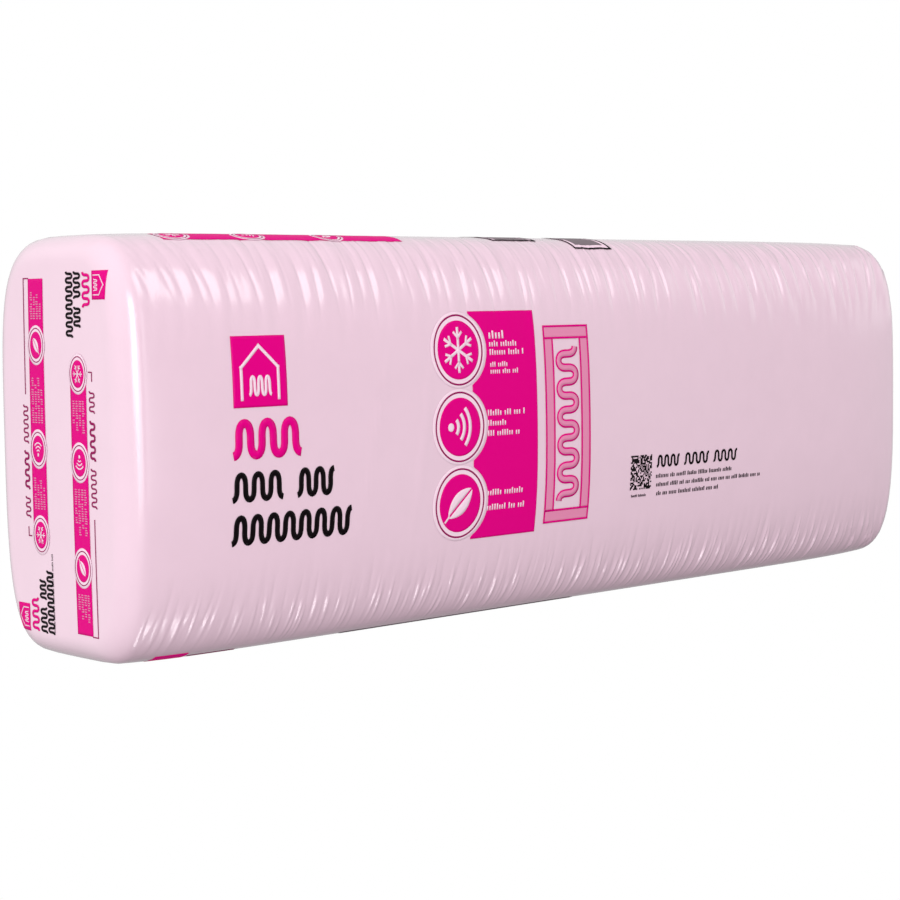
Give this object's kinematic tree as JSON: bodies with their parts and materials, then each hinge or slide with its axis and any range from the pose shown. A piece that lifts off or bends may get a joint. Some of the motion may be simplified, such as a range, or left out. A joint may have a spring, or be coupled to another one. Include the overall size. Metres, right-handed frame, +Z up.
{
  "type": "insulation batt pack",
  "caption": "Long soft-edged pack of compressed glass-wool insulation batts, sealed in a glossy printed film bag and standing on its narrow side.",
  "frame": {"origin": "on the floor under the middle of the pack, at the bottom centre of its box", "axes": "+X along the length of the batts, +Y through the stack from the printed front to the back, +Z up across the width of the batts; the printed front faces -Y"},
  "size_m": [1.24, 0.253, 0.4185],
  "materials": {
    "film": "pale pink printed polyethylene film, glossy",
    "wool": "pink glass wool, matt and fibrous"
  },
  "bodies": {
    "root": {"film_bag": "film", "batt_01": "wool", "batt_02": "wool", "batt_03": "wool", "batt_04": "wool", "batt_05": "wool", "batt_06": "wool", "batt_07": "wool", "batt_08": "wool"}
  },
  "joints": []
}
